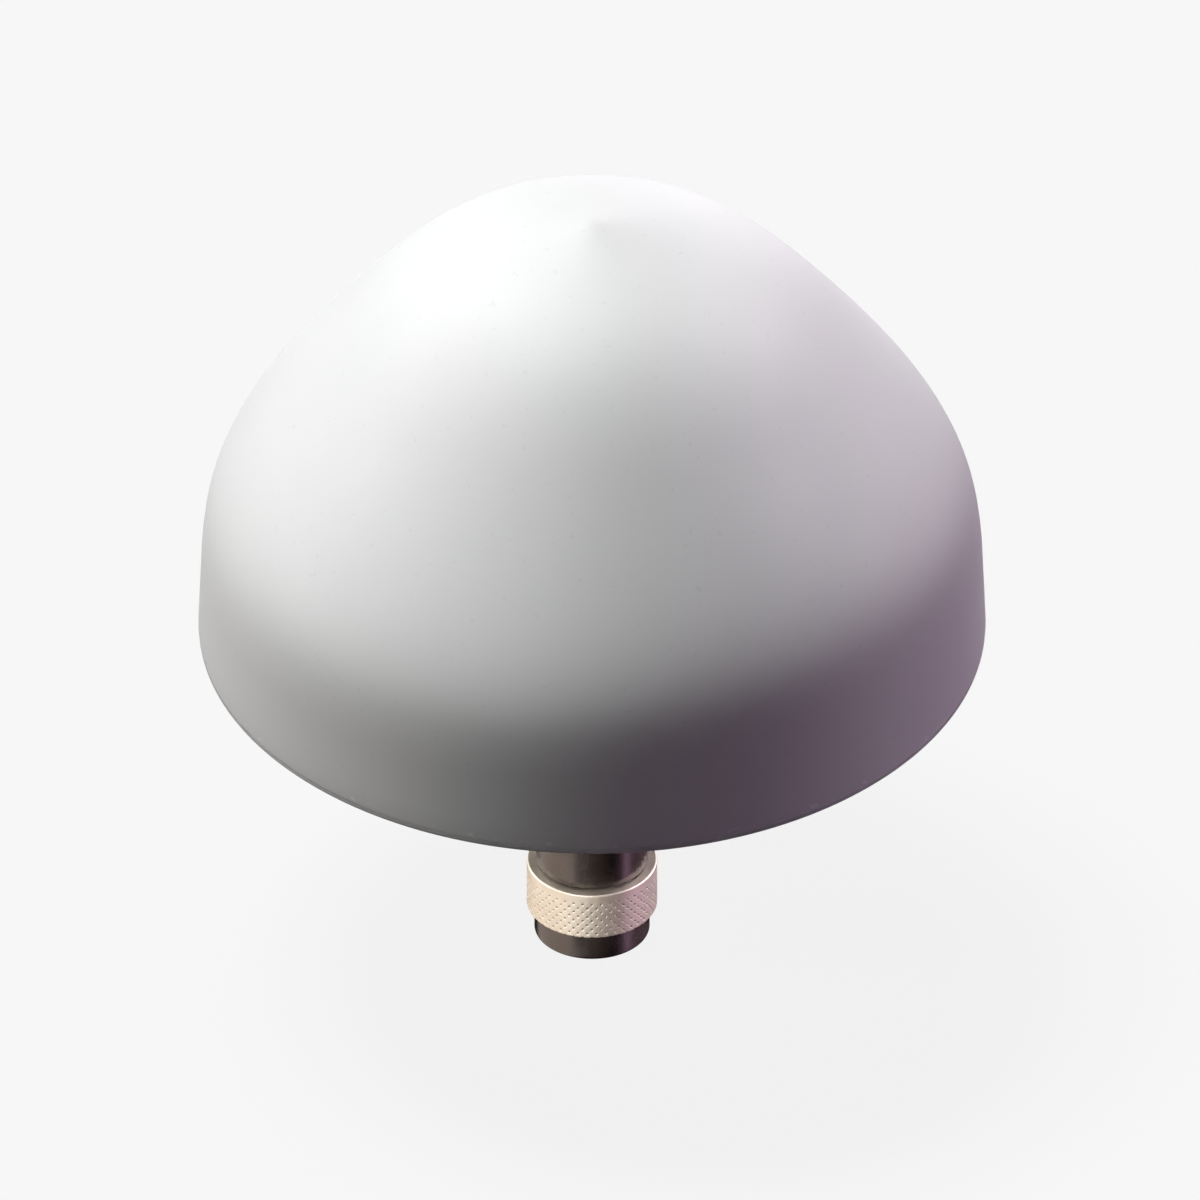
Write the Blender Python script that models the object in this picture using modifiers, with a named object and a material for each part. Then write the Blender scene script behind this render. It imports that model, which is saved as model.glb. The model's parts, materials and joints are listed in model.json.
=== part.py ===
"""GNSS receiver head with a union nut on a pole adapter, as an assembly of separate pieces.

Metres, +Z up. The origin is the centre of the pole adapter's bottom face, the antenna
reference point, where it sits on a survey pole. Heights named *_Z are above that face.
"""

import math

import bmesh
import bpy
from mathutils import Matrix

MM = 0.001
GAP = 0.3  # kept between pieces that rest on each other, in mm like every size below

# Driving dimensions
NECK_HEIGHT = 74.0  # pole adapter's face to the underside of the base plate
DOME_RADIUS = 80.0  # radome at the foot of its skirt
DOME_RISE = 101.2  # base plate's underside to the tip
RIM_BAND = 1.7  # visible edge of the base plate under the radome
WALL = 2.6
NECK_RADIUS = 11.4
COLLAR_RADIUS = 11.7  # the pole adapter's visible end
NUT_RADIUS = 13.25
NUT_LOW, NUT_HIGH = 6.5, 17.05
SOCKET_RADIUS = 8.1  # clears the 5/8-11 stud of a survey pole
STUD_ROOM = 26.0  # how far up the neck is hollow for a long stud
THREAD_RADIUS = 11.0  # the adapter's barrel, which the union nut screws on
THREAD_TOP = 11.7
JOURNAL_RADIUS = 9.6  # the neck's reduced end, inside the nut's lip
BOARD_RADIUS = 60.0
GROUND_PLANE_RADIUS = 66.0

BASE_Z = NECK_HEIGHT
FLOOR_TOP_Z = BASE_Z + 3.0
SPIGOT_TOP_Z = BASE_Z + 8.0
SPIGOT_RADIUS = DOME_RADIUS - WALL - GAP
BOARD_Z = BASE_Z + 16.0
BOARD_THICK = 1.6
MODULE_Z = BOARD_Z + 5.0
GROUND_PLANE_Z = BASE_Z + 38.0
GROUND_PLANE_THICK = 1.5
LNA_Z = GROUND_PLANE_Z - GAP - BOARD_THICK
LOWER_PATCH_Z = GROUND_PLANE_Z + GROUND_PLANE_THICK + GAP
PATCH_THICK = 5.0
UPPER_PATCH_Z = LOWER_PATCH_Z + PATCH_THICK + GAP
PATCH_TOP_Z = UPPER_PATCH_Z + PATCH_THICK

RETAINER_TOP = THREAD_TOP + 2.2
TONGUE_HEIGHT, TONGUE_WIDTH = 1.5, 3.0  # they stop the head turning on the adapter

RADOME_SCREW_CIRCLE = 68.0
NECK_SCREW_CIRCLE = 19.5
STANDOFF_CIRCLE = 54.0
FEED_CIRCLE = 12.0
CONNECTOR_Y = 50.0
VENT_AT = (-42.0, -24.0)

ROUND, SMALL_ROUND, TINY_ROUND = 48, 32, 12

COLOURS = {  # base colour, metallic, roughness
    "white_plastic": ((0.80, 0.80, 0.81), 0.0, 0.38),
    "black_anodised": ((0.030, 0.027, 0.028), 0.6, 0.35),
    "satin_brass": ((0.66, 0.52, 0.42), 0.9, 0.38),
    "grey_plastic": ((0.60, 0.60, 0.61), 0.0, 0.45),
    "black_plastic": ((0.02, 0.02, 0.022), 0.0, 0.5),
    "rubber": ((0.03, 0.03, 0.03), 0.0, 0.8),
    "steel": ((0.55, 0.55, 0.56), 1.0, 0.3),
    "gold": ((0.83, 0.62, 0.30), 1.0, 0.25),
    "aluminium": ((0.70, 0.71, 0.72), 1.0, 0.4),
    "green_board": ((0.02, 0.14, 0.07), 0.0, 0.45),
    "ceramic": ((0.78, 0.74, 0.66), 0.0, 0.5),
    "cable_jacket": ((0.28, 0.16, 0.08), 0.0, 0.5),
}


def collection(name):
    made = bpy.data.collections.new(name)
    bpy.context.scene.collection.children.link(made)
    return made


def finish_named(name):
    """The named material, made on first use."""
    if name in bpy.data.materials:
        return bpy.data.materials[name]
    colour, metallic, roughness = COLOURS[name]
    material = bpy.data.materials.new(name)
    material.use_nodes = True
    shader = material.node_tree.nodes["Principled BSDF"]
    shader.inputs["Base Color"].default_value = (*colour, 1.0)
    shader.inputs["Metallic"].default_value = metallic
    shader.inputs["Roughness"].default_value = roughness
    return material


def add_object(name, data, finish=None, at=(0.0, 0.0)):
    """A part if it has a finish, and a hidden helper if it has none."""
    obj = bpy.data.objects.new(name, data)
    obj.location = (at[0] * MM, at[1] * MM, 0.0)
    if finish:
        data.materials.append(finish_named(finish))
        PARTS.objects.link(obj)
    else:
        obj.hide_render = True
        obj.display_type = "WIRE"
        HELPERS.objects.link(obj)
    return obj


def smooth(mesh):
    mesh.shade_smooth()
    mesh.set_sharp_from_angle(angle=math.radians(35))


def turned(name, outline, finish, steps=SMALL_ROUND, at=(0.0, 0.0), closed=False):
    """A turned piece. The outline is (radius, height) in mm and runs down its outer side.

    A closed outline makes a ring, and an open one starts and ends on the axis.
    """
    mesh = bpy.data.meshes.new(name)
    points = [(r * MM, 0.0, z * MM) for r, z in outline]
    edges = [(i, i + 1) for i in range(len(points) - 1)]
    if closed:
        edges.append((len(points) - 1, 0))
    mesh.from_pydata(points, edges, [])
    obj = add_object(name, mesh, finish, at)
    screw = obj.modifiers.new("turn", "SCREW")
    screw.steps = screw.render_steps = steps
    screw.use_merge_vertices = True
    screw.merge_threshold = 0.00001
    screw.use_smooth_shade = True
    return obj


def rod_outline(radius, low, high, chamfer=0.0):
    """A solid rod's outline, from its top centre to its bottom centre."""
    if not chamfer:
        return [(0, high), (radius, high), (radius, low), (0, low)]
    inner = radius - chamfer
    side = [(inner, high), (radius, high - chamfer), (radius, low + chamfer), (inner, low)]
    return [(0, high), *side, (0, low)]


def ring_outline(outer, inner, low, high, chamfer=0.0):
    """A tube's closed outline: down the outside, in, up the bore and out."""
    edge = outer - chamfer
    side = [(outer, high - chamfer), (outer, low + chamfer)]
    if chamfer:
        side = [(edge, high), *side, (edge, low)]
    return [*side, (inner, low), (inner, high)]


def seal_ring(name, radius, thickness, height, at=(0.0, 0.0), steps=SMALL_ROUND):
    """An O-ring of the given centre-line radius and cord thickness."""
    count = 10
    turn = [-2 * math.pi * i / count for i in range(count)]
    half = thickness / 2
    outline = [(radius + half * math.cos(a), height + half * math.sin(a)) for a in turn]
    return turned(name, outline, "rubber", steps, at, closed=True)


def solid_mesh(name, build):
    """A mesh from bmesh primitives that build adds, with clean outward normals."""
    mesh = bpy.data.meshes.new(name)
    shape = bmesh.new()
    build(shape)
    bmesh.ops.recalc_face_normals(shape, faces=shape.faces)
    shape.to_mesh(mesh)
    shape.free()
    smooth(mesh)
    return mesh


def add_rod(shape, x, y, low, high, radius, sides=TINY_ROUND):
    middle = Matrix.Translation((x * MM, y * MM, (low + high) / 2 * MM))
    bmesh.ops.create_cone(
        shape,
        cap_ends=True,
        segments=sides,
        radius1=radius * MM,
        radius2=radius * MM,
        depth=(high - low) * MM,
        matrix=middle,
    )


def add_block(shape, x, y, low, high, width, depth):
    middle = Matrix.Translation((x * MM, y * MM, (low + high) / 2 * MM))
    size = Matrix.Diagonal((width * MM, depth * MM, (high - low) * MM, 1.0))
    bmesh.ops.create_cube(shape, size=1.0, matrix=middle @ size)


def block(name, x, y, low, high, width, depth, finish, bevel=0.3):
    obj = add_object(
        name,
        solid_mesh(name, lambda s: add_block(s, 0, 0, low, high, width, depth)),
        finish,
        (x, y),
    )
    edges = obj.modifiers.new("edges", "BEVEL")
    edges.width = bevel * MM
    edges.segments = 1
    return obj


def rods(name, places, low, high, radius, sides=TINY_ROUND):
    """A hidden helper of separate rods, to cut or to join with."""

    def build(shape):
        for x, y in places:
            add_rod(shape, x, y, low, high, radius, sides)

    return add_object(name, solid_mesh(name, build))


def combine(obj, helper, operation):
    change = obj.modifiers.new(helper.name, "BOOLEAN")
    change.operation = operation
    change.object = helper


def drill(obj, label, places, low, high, radius, sides=TINY_ROUND):
    cutter = rods(f"{obj.name}_{label}", places, low, high, radius, sides)
    combine(obj, cutter, "DIFFERENCE")


def circle_places(count, radius, first=0.0):
    angles = [math.radians(first + 360.0 * i / count) for i in range(count)]
    return [(radius * math.cos(a), radius * math.sin(a)) for a in angles]


RADOME_SCREWS = circle_places(6, RADOME_SCREW_CIRCLE)
NECK_SCREWS = circle_places(4, NECK_SCREW_CIRCLE, 45)
STANDOFFS = circle_places(4, STANDOFF_CIRCLE, 45)
FEEDS = circle_places(4, FEED_CIRCLE, 45)


def bezier(start, start_slope, start_pull, end, end_slope, end_pull, count):
    """Points up a cubic curve that leaves and arrives at slopes in degrees from level."""

    def ahead(point, slope, pull):
        angle = math.radians(slope)
        return (point[0] - pull * math.cos(angle), point[1] + pull * math.sin(angle))

    handles = [start, ahead(start, start_slope, start_pull)]
    handles += [ahead(end, end_slope, -end_pull), end]
    points = []
    for i in range(count + 1):
        t = i / count
        weights = [(1 - t) ** 3, 3 * (1 - t) ** 2 * t, 3 * (1 - t) * t**2, t**3]
        points.append(tuple(sum(w * h[k] for w, h in zip(weights, handles)) for k in (0, 1)))
    return points


def dome_outline():
    """The radome's outer line from tip to skirt: a low cone running into a round shoulder."""
    draft, skirt_slope = 0.0388, 85.5
    foot = RIM_BAND + GAP
    skirt_top = (DOME_RADIUS * 0.99, DOME_RADIUS * 0.255)
    waist = (DOME_RADIUS * 0.636, DOME_RADIUS * 0.912)
    waist_slope, tip_slope = 50.3, 14.0
    skirt = [(DOME_RADIUS - draft * foot, foot)]
    shoulder = bezier(skirt_top, skirt_slope, 12.7, waist, waist_slope, 40.6, 9)
    crown = bezier(waist, waist_slope, 24.4, (0.0, DOME_RISE), tip_slope, 26.4, 9)
    up = skirt + shoulder + crown[1:]
    return [(r, BASE_Z + z) for r, z in reversed(up)]


def make_radome():
    radome = turned("radome", dome_outline(), "white_plastic", ROUND)
    shell = radome.modifiers.new("wall", "SOLIDIFY")
    shell.thickness = WALL * MM
    shell.offset = -1.0
    low, high = BASE_Z + 6.0 + GAP, BASE_Z + 22.0

    def bosses(shape):
        for x, y in RADOME_SCREWS:
            add_rod(shape, x, y, low, high, 4.0)

    def ribs(shape):
        rib_low, inner, outer = SPIGOT_TOP_Z + GAP, 69.0, 78.0
        count = len(RADOME_SCREWS)
        for i in range(count):
            turn = Matrix.Rotation(math.tau * i / count, 4, "Z")
            first = len(shape.verts)
            add_block(shape, (inner + outer) / 2, 0, rib_low, high, outer - inner, 2.4)
            shape.verts.ensure_lookup_table()
            bmesh.ops.transform(shape, matrix=turn, verts=shape.verts[first:])

    combine(radome, add_object("radome_bosses", solid_mesh("radome_bosses", bosses)), "UNION")
    combine(radome, add_object("radome_ribs", solid_mesh("radome_ribs", ribs)), "UNION")
    drill(radome, "pilots", RADOME_SCREWS, low - 2, low + 10, 1.7)


def make_base_plate():
    groove_low, groove_high, groove_radius = BASE_Z + 4.6, BASE_Z + 6.8, SPIGOT_RADIUS - 1.7
    edge = DOME_RADIUS - 0.4
    rim_top = BASE_Z + RIM_BAND
    spigot_inner = SPIGOT_RADIUS - 3.5
    hub_radius, hub_top = 25.0, BASE_Z + 12.0
    outline = [
        (0, hub_top),
        (hub_radius - 1, hub_top),
        (hub_radius, hub_top - 1),
        (hub_radius, FLOOR_TOP_Z),
        (spigot_inner, FLOOR_TOP_Z),
        (spigot_inner, SPIGOT_TOP_Z),
        (SPIGOT_RADIUS - 0.5, SPIGOT_TOP_Z),
        (SPIGOT_RADIUS, SPIGOT_TOP_Z - 0.5),
        (SPIGOT_RADIUS, groove_high),
        (groove_radius, groove_high),
        (groove_radius, groove_low),
        (SPIGOT_RADIUS, groove_low),
        (SPIGOT_RADIUS, rim_top),
        (edge, rim_top),
        (edge, BASE_Z + 0.8),
        (edge - 0.8, BASE_Z),
        (0, BASE_Z),
    ]
    plate = turned("base_plate", outline, "grey_plastic", ROUND)
    pads = rods("screw_pads", RADOME_SCREWS, FLOOR_TOP_Z - 1, BASE_Z + 6, 4.6)
    combine(plate, pads, "UNION")
    feet = rods("standoff_pads", STANDOFFS, FLOOR_TOP_Z - 1, BASE_Z + 6, 4.5)
    combine(plate, feet, "UNION")
    drill(plate, "screw_holes", RADOME_SCREWS, BASE_Z - 1, BASE_Z + 7, 1.7)
    drill(plate, "counterbores", RADOME_SCREWS, BASE_Z - 1, BASE_Z + 2.5, 3.2, 16)
    drill(plate, "standoff_holes", STANDOFFS, BASE_Z + 1.2, BASE_Z + 7, 1.7)
    drill(plate, "neck_screw_holes", NECK_SCREWS, BASE_Z - 1, BASE_Z + 10, 2.2)
    drill(plate, "connector_hole", [(0, CONNECTOR_Y)], BASE_Z - 1, BASE_Z + 4, 6.3, 24)
    drill(plate, "vent_hole", [VENT_AT], BASE_Z - 1, BASE_Z + 4, 3.3, 16)


def make_neck():
    """Flange, gusset and tube, hollow from below for the stud, on a reduced journal."""
    top = BASE_Z - GAP
    flange_radius, flange_low = 25.0, BASE_Z - 5.3
    end, ring_seat, shoulder = THREAD_TOP + GAP, RETAINER_TOP + GAP, NUT_HIGH + GAP
    web_top, bore = STUD_ROOM + 8.0, 8.0
    outline = [
        (0, web_top),
        (bore, web_top),
        (bore, top),
        (13.9, top),
        (13.9, top - 1.5),
        (16.1, top - 1.5),
        (16.1, top),
        (flange_radius - 0.6, top),
        (flange_radius, top - 0.6),
        (flange_radius, flange_low + 0.6),
        (flange_radius - 0.6, flange_low),
        (15.5, flange_low),
        (NECK_RADIUS, flange_low - 11.0),
        (NECK_RADIUS, shoulder),
        (JOURNAL_RADIUS, shoulder),
        (JOURNAL_RADIUS, ring_seat),
        (JOURNAL_RADIUS - 0.3, ring_seat),
        (JOURNAL_RADIUS - 0.3, end),
        (SOCKET_RADIUS, end),
        (SOCKET_RADIUS, STUD_ROOM),
        (0, STUD_ROOM + 3.0),
    ]
    neck = turned("neck", outline, "black_anodised", SMALL_ROUND)
    drill(neck, "flange_holes", NECK_SCREWS, flange_low - 1, top + 1, 2.2)
    slot_top, slot_width = end + TONGUE_HEIGHT + GAP, TONGUE_WIDTH + 2 * GAP
    slot_from, slot_to = SOCKET_RADIUS - 1.0, JOURNAL_RADIUS + 0.5
    slots = across_axis("neck_slots", slot_from, slot_to, end - 1, slot_top, slot_width)
    combine(neck, slots, "DIFFERENCE")
    seal_ring("neck_seal", 15.0, 1.5, top - 0.75)
    head_low = flange_low - GAP - 4.0
    for i, place in enumerate(NECK_SCREWS):
        cap_screw(f"neck_screw_{i + 1}", place, head_low, 4.0, 3.5, BASE_Z + 8.5, 1.9)


def across_axis(name, inner, outer, low, high, width):
    """A hidden pair of blocks on opposite sides of the axis, to cut or to join with."""
    middle, length = (inner + outer) / 2, outer - inner

    def build(shape):
        for x in (-middle, middle):
            add_block(shape, x, 0, low, high, length, width)

    return add_object(name, solid_mesh(name, build))


def make_union():
    """The union nut on the neck, the ring that keeps it there, and the pole adapter."""
    chamfer, thread_bore, lip_bore = 0.35, THREAD_RADIUS + GAP, JOURNAL_RADIUS + GAP
    lip_low = RETAINER_TOP + GAP
    nut = [
        (NUT_RADIUS - chamfer, NUT_HIGH),
        (NUT_RADIUS, NUT_HIGH - chamfer),
        (NUT_RADIUS, NUT_LOW + chamfer),
        (NUT_RADIUS - chamfer, NUT_LOW),
        (thread_bore, NUT_LOW),
        (thread_bore, lip_low),
        (lip_bore, lip_low),
        (lip_bore, NUT_HIGH),
    ]
    turned("union_nut", nut, "satin_brass", ROUND, closed=True)
    retainer = ring_outline(THREAD_RADIUS, JOURNAL_RADIUS, THREAD_TOP + GAP, RETAINER_TOP)
    turned("retaining_ring", retainer, "steel", SMALL_ROUND, closed=True)
    adapter = [
        (THREAD_RADIUS - 0.4, THREAD_TOP),
        (THREAD_RADIUS, THREAD_TOP - 0.4),
        (THREAD_RADIUS, NUT_LOW - GAP),
        (COLLAR_RADIUS, NUT_LOW - GAP),
        (COLLAR_RADIUS, 0.5),
        (COLLAR_RADIUS - 0.5, 0),
        (SOCKET_RADIUS + 1.0, 0),
        (SOCKET_RADIUS, 1.0),
        (SOCKET_RADIUS, THREAD_TOP),
    ]
    adapter = turned("pole_adapter", adapter, "black_anodised", SMALL_ROUND, closed=True)
    low, high = THREAD_TOP - 0.5, THREAD_TOP + GAP + TONGUE_HEIGHT
    tongue_from, tongue_to = SOCKET_RADIUS + 0.2, JOURNAL_RADIUS - 0.5
    tongues = across_axis("adapter_tongues", tongue_from, tongue_to, low, high, TONGUE_WIDTH)
    combine(adapter, tongues, "UNION")


def cap_screw(name, at, low, head, head_radius, high, shank_radius):
    """A socket screw driven upwards: its head's drive face is at low."""
    outline = [(0, high), (shank_radius, high), (shank_radius, low + head)]
    outline += [(head_radius, low + head), (head_radius, low + 0.3)]
    outline += [(head_radius - 0.3, low), (0, low)]
    screw = turned(name, outline, "steel", 16, at)
    drive_depth = head * 0.5
    drive = rods(f"{name}_drive", [(0, 0)], low - 1, low + drive_depth, shank_radius * 0.7, 6)
    drive.location = screw.location
    combine(screw, drive, "DIFFERENCE")


def pan_screw(name, at, low, head_low, shank_radius, head_radius):
    """A socket screw driven downwards: its point is at low, its head sits on head_low."""
    head_top = head_low + 1.8
    outline = [(0, head_top), (head_radius - 0.6, head_top), (head_radius, head_low + 0.9)]
    outline += [(head_radius, head_low), (shank_radius, head_low), (shank_radius, low), (0, low)]
    screw = turned(name, outline, "steel", 16, at)
    drive = rods(f"{name}_drive", [(0, 0)], head_top - 1, head_top + 1, shank_radius * 0.7, 6)
    drive.location = screw.location
    combine(screw, drive, "DIFFERENCE")


def make_radome_fixings():
    seal_ring("rim_seal", SPIGOT_RADIUS - 0.85, 1.5, BASE_Z + 5.7, steps=ROUND)
    for i, place in enumerate(RADOME_SCREWS):
        name = f"radome_screw_{i + 1}"
        cap_screw(name, place, BASE_Z + 0.2, 2.0, 2.8, BASE_Z + 15.0, 1.4)
    cap_low, cap_top = BASE_Z - GAP - 1.8, BASE_Z - GAP
    vent = [(0, BASE_Z + 5), (3.0, BASE_Z + 5), (3.0, cap_top), (6.0, cap_top)]
    vent += [(6.0, cap_low + 0.8), (5.2, cap_low), (0, cap_low)]
    turned("vent_plug", vent, "black_plastic", 24, VENT_AT)


def make_connector():
    """A five-pin round panel plug under the base plate, with its nut inside."""
    at = (0, CONNECTOR_Y)
    low, high = BASE_Z - 12.0, BASE_Z + 10.0
    flange_top, flange_low = BASE_Z - GAP, BASE_Z - 2.8
    bore, thread = 4.9, 6.0
    outline = [
        (thread, high),
        (thread, flange_top),
        (6.9, flange_top),
        (6.9, flange_top - 1.2),
        (8.6, flange_top - 1.2),
        (8.6, flange_top),
        (10.0, flange_top),
        (10.0, flange_low + 0.5),
        (9.5, flange_low),
        (thread, flange_low),
        (thread, low + 0.4),
        (thread - 0.4, low),
        (bore, low),
        (bore, high),
    ]
    turned("connector_shell", outline, "steel", 24, at, closed=True)
    seal_ring("connector_seal", 7.75, 1.2, flange_top - 0.6, at, 24)
    insert_low, insert_high = low + 7.5, high - 0.5
    outline = rod_outline(bore - GAP, insert_low, insert_high)
    insert = turned("connector_insert", outline, "black_plastic", 24, at)
    pins = [(0.0, 0.0), *circle_places(4, 2.6, 45)]
    places = [(x, y + CONNECTOR_Y) for x, y in pins]
    drill(insert, "pin_holes", places, insert_low - 1, insert_high + 1, 0.8, 8)
    for i, place in enumerate(places):
        pin = rod_outline(0.5, low + 4.5, insert_high + 1.0, 0.2)
        turned(f"connector_pin_{i + 1}", pin, "gold", 8, place)
    hexagon("connector_nut", at, FLOOR_TOP_Z + GAP, FLOOR_TOP_Z + 3.3, 16.0, thread + GAP, "steel")


def hexagon(name, at, low, high, across, bore, finish, bore_low=None, bore_high=None):
    """A hexagonal nut or spacer of the given width across flats, bored along its axis."""
    corner = across / math.sqrt(3)
    mesh = solid_mesh(name, lambda s: add_rod(s, 0, 0, low, high, corner, 6))
    obj = add_object(name, mesh, finish, at)
    bore_low = low - 1 if bore_low is None else bore_low
    bore_high = high + 1 if bore_high is None else bore_high
    cutter = rods(f"{name}_bore", [(0, 0)], bore_low, bore_high, bore)
    cutter.location = obj.location
    combine(obj, cutter, "DIFFERENCE")
    return obj


def make_standoffs():
    """Four stacks: a standoff with studs, the board, a spacer, then the ground plane."""
    stud, hole = 1.4, 1.7
    corner = 5.5 / math.sqrt(3)
    foot, board_top = BASE_Z + 6.0 + GAP, BOARD_Z + BOARD_THICK + GAP
    for i, place in enumerate(STANDOFFS):
        outline = [
            (0, BOARD_Z + 5.0),
            (stud, BOARD_Z + 5.0),
            (stud, BOARD_Z - GAP),
            (corner, BOARD_Z - GAP),
            (corner, foot),
            (stud, foot),
            (stud, BASE_Z + 2.0),
            (0, BASE_Z + 2.0),
        ]
        turned(f"standoff_{i + 1}", outline, "steel", 6, place)
        top = GROUND_PLANE_Z - GAP
        spacer = hexagon(
            f"spacer_{i + 1}", place, board_top, top, 5.5, hole, "steel", None, board_top + 5
        )
        drill(spacer, "top_bore", [place], top - 8, top + 1, hole)
        head_low = GROUND_PLANE_Z + GROUND_PLANE_THICK + GAP
        pan_screw(f"plane_screw_{i + 1}", place, top - 7, head_low, stud, 2.8)


def disc(name, radius, low, thick, finish, steps=ROUND):
    return turned(name, rod_outline(radius, low, low + thick), finish, steps)


def make_electronics():
    board = disc("main_board", BOARD_RADIUS, BOARD_Z, BOARD_THICK, "green_board", 48)
    drill(board, "holes", STANDOFFS, BOARD_Z - 1, BOARD_Z + 3, 1.7)
    board_top = BOARD_Z + BOARD_THICK + GAP
    for i, y in enumerate((-32.0, 16.0)):
        name = f"module_header_{i + 1}"
        block(name, 0, y, board_top, MODULE_Z - GAP, 34, 4, "black_plastic")
    module_top = MODULE_Z + BOARD_THICK + GAP
    block("module_board", 0, -8, MODULE_Z, MODULE_Z + BOARD_THICK, 46, 60, "green_board")
    block("module_shield", 0, -13, module_top, module_top + 4, 40, 44, "aluminium", 0.6)
    block("power_coil", 34, -20, board_top, board_top + 6, 12, 12, "black_plastic", 0.8)
    under = BOARD_Z - GAP
    block("harness_header", 28, 40, under - 6, under, 10, 8, "black_plastic")


def make_antenna():
    plane = disc(
        "ground_plane", GROUND_PLANE_RADIUS, GROUND_PLANE_Z, GROUND_PLANE_THICK, "aluminium"
    )
    low, high = LNA_Z - 1, PATCH_TOP_Z + 1
    drill(plane, "screw_holes", STANDOFFS, low, high, 1.7)
    lna = disc("lna_board", 30.0, LNA_Z, BOARD_THICK, "green_board", 48)
    lower = disc("lower_patch", 36.0, LOWER_PATCH_Z, PATCH_THICK, "ceramic", 48)
    upper = disc("upper_patch", 26.0, UPPER_PATCH_Z, PATCH_THICK, "ceramic", 48)
    for piece in (plane, lna, lower, upper):
        drill(piece, "centre_hole", [(0, 0)], low, high, 1.8)
        drill(piece, "feed_holes", FEEDS, low, high, 0.8, 8)
    for i, place in enumerate(FEEDS):
        pin = rod_outline(0.5, LNA_Z - 0.8, PATCH_TOP_Z + 0.6)
        turned(f"feed_pin_{i + 1}", pin, "gold", 8, place)
    pan_screw("patch_screw", (0, 0), LNA_Z - 1, PATCH_TOP_Z + GAP, 1.4, 3.0)
    block("lna_shield", 18.5, 0, LNA_Z - 4.3, LNA_Z - GAP, 18, 26, "aluminium", 0.6)


def smooth_route(points, spacing):
    """Points about spacing apart along a Catmull-Rom curve through the given ones."""
    ends = [points[0], *points, points[-1]]
    route = []
    for i in range(1, len(ends) - 2):
        a, b, c, d = ends[i - 1 : i + 3]
        count = max(2, round(math.dist(b, c) / spacing))
        for step in range(count):
            t = step / count
            bends = zip(a, b, c, d)
            route.append(tuple(spline_value(t, *axis) for axis in bends))
    return [*route, points[-1]]


def spline_value(t, a, b, c, d):
    return 0.5 * (
        2 * b
        + (c - a) * t
        + (2 * a - 5 * b + 4 * c - d) * t**2
        + (3 * b - a - 3 * c + d) * t**3
    )


def wire(name, points, radius, finish):
    """A cable along a smooth route through points in mm."""
    curve = bpy.data.curves.new(name, "CURVE")
    curve.dimensions = "3D"
    curve.bevel_depth = radius * MM
    curve.bevel_resolution = 2
    curve.use_fill_caps = True
    route = smooth_route(points, radius * 3)
    line = curve.splines.new("POLY")
    line.points.add(len(route) - 1)
    for point, (x, y, z) in zip(line.points, route):
        point.co = (x * MM, y * MM, z * MM, 1.0)
    return add_object(name, curve, finish)


def make_wiring():
    """The coax from amplifier to receiver module, and the harness to the panel plug."""
    module_top = MODULE_Z + BOARD_THICK + GAP
    socket = rod_outline(2.0, module_top, module_top + 2.0, 0.3)
    turned("rf_socket", socket, "gold", 12, (-14, 18))
    socket_top = module_top + 2.0 + GAP
    lna_face = LNA_Z - GAP
    coax = [
        (-20, 4, lna_face),
        (-20, 4.5, lna_face - 2.5),
        (-19, 9, lna_face - 5),
        (-15, 16, lna_face - 6),
        (-14, 18, socket_top + 1.2),
        (-14, 18, socket_top),
    ]
    wire("rf_cable", coax, 0.9, "cable_jacket")
    plug_back = BASE_Z + 10.5 + GAP
    wires = [
        (0, CONNECTOR_Y, plug_back + 1.2),
        (5, CONNECTOR_Y - 1.5, plug_back + 2.0),
        (13, CONNECTOR_Y - 6.5, BOARD_Z - 3.2),
        (19, CONNECTOR_Y - 9.5, BOARD_Z - 3.3),
        (23 - GAP, CONNECTOR_Y - 10, BOARD_Z - 3.3),
    ]
    wire("harness", wires, 1.7, "black_plastic")


for old in list(bpy.data.objects):
    bpy.data.objects.remove(old)
PARTS = collection("gnss_receiver")
HELPERS = collection("helpers")
make_radome()
make_base_plate()
make_radome_fixings()
make_neck()
make_union()
make_connector()
make_standoffs()
make_electronics()
make_antenna()
make_wiring()
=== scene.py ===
"""Looks, light and camera for the GNSS receiver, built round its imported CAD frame.

Turned pieces are drawn from outlines of (radius, height, rounding) in millimetres, in the
frame's own coordinates: z = 0 is the pole adapter's bottom face.
"""

import json
import math

import bmesh
import bpy
from mathutils import Matrix, Vector

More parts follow.
